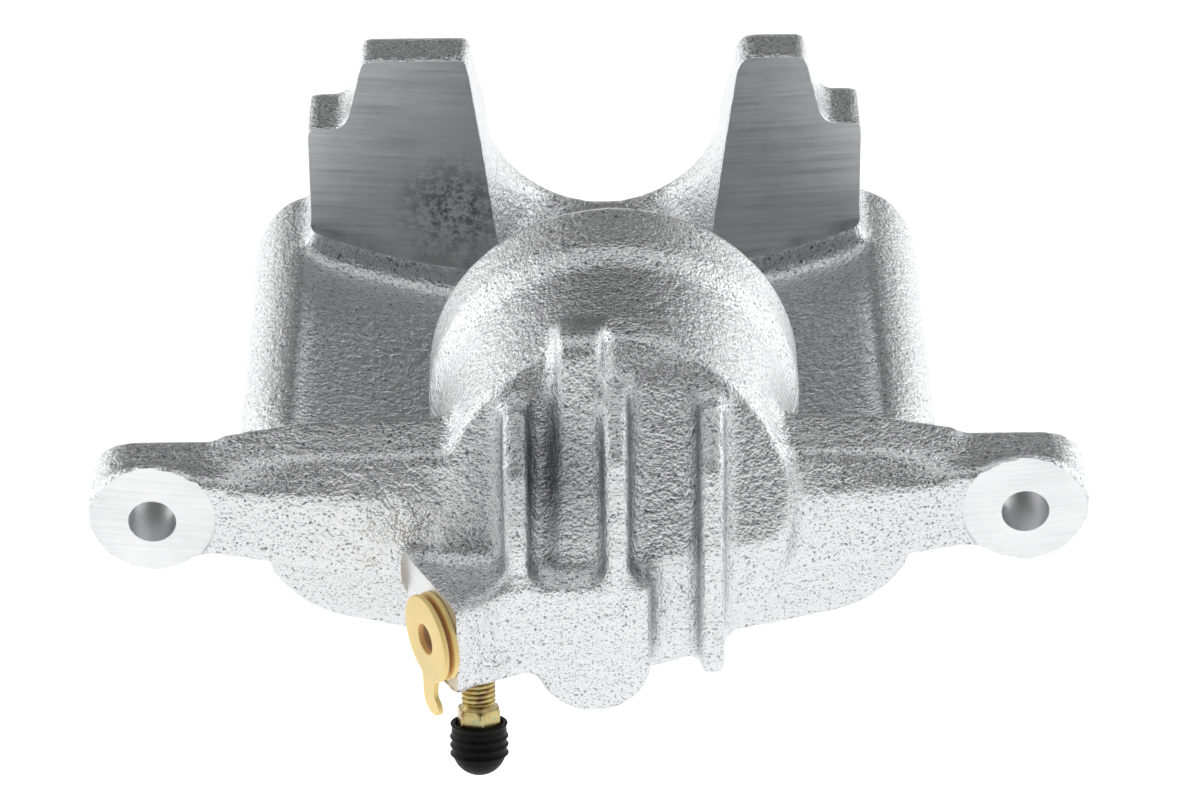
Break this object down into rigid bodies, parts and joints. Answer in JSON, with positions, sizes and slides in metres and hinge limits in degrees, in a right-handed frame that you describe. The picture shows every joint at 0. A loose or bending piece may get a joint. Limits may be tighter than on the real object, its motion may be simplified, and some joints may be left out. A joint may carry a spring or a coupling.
{
  "type": "brake caliper housing",
  "caption": "Floating disc-brake caliper housing in zinc-plated cast iron, with its piston, dust boot, capped bleed screw and plugged hose port.",
  "frame": {"origin": "midway between the two guide-bolt holes, on the machined faces of the guide ears", "axes": "+X along the line of the guide bolts, +Y along the piston stroke towards the fingers, +Z towards the wheel axle"},
  "size_m": [0.201, 0.1867, 0.0893],
  "materials": {
    "plated_casting": "zinc plated, rough cast skin with milled faces",
    "piston_steel": "ground and plated",
    "black_rubber": "matte",
    "ring_wire": "bright wire",
    "yellow_zinc_steel": "yellow passivated",
    "beige_plastic": "smooth moulded"
  },
  "bodies": {
    "housing": {"caliper_housing": "plated_casting", "piston_seal": "black_rubber", "dust_boot": "black_rubber", "boot_retaining_ring": "ring_wire"},
    "piston": {"piston": "piston_steel"},
    "bleeder_screw": {"bleeder_screw": "yellow_zinc_steel"},
    "bleeder_cap": {"bleeder_cap": "black_rubber"},
    "inlet_plug": {"inlet_plug": "beige_plastic"}
  },
  "joints": [
    {"name": "piston_slide", "type": "slide", "parent": "housing", "child": "piston", "axis": [0, 1, 0], "range_m": [0, 0.03], "deforming": ["dust_boot"]},
    {"name": "bleeder_turn", "type": "hinge", "parent": "housing", "child": "bleeder_screw", "pos_m": [-0.0227, -0.01187, -0.0298], "axis": [0, -0.2756, -0.9613], "range_deg": [0, 360]},
    {"name": "bleeder_cap_pull", "type": "slide", "parent": "bleeder_screw", "child": "bleeder_cap", "axis": [0, -0.2756, -0.9613], "range_m": [0, 0.02]},
    {"name": "inlet_plug_pull", "type": "slide", "parent": "housing", "child": "inlet_plug", "axis": [-0.891, -0.454, 0], "range_m": [0, 0.014]}
  ]
}
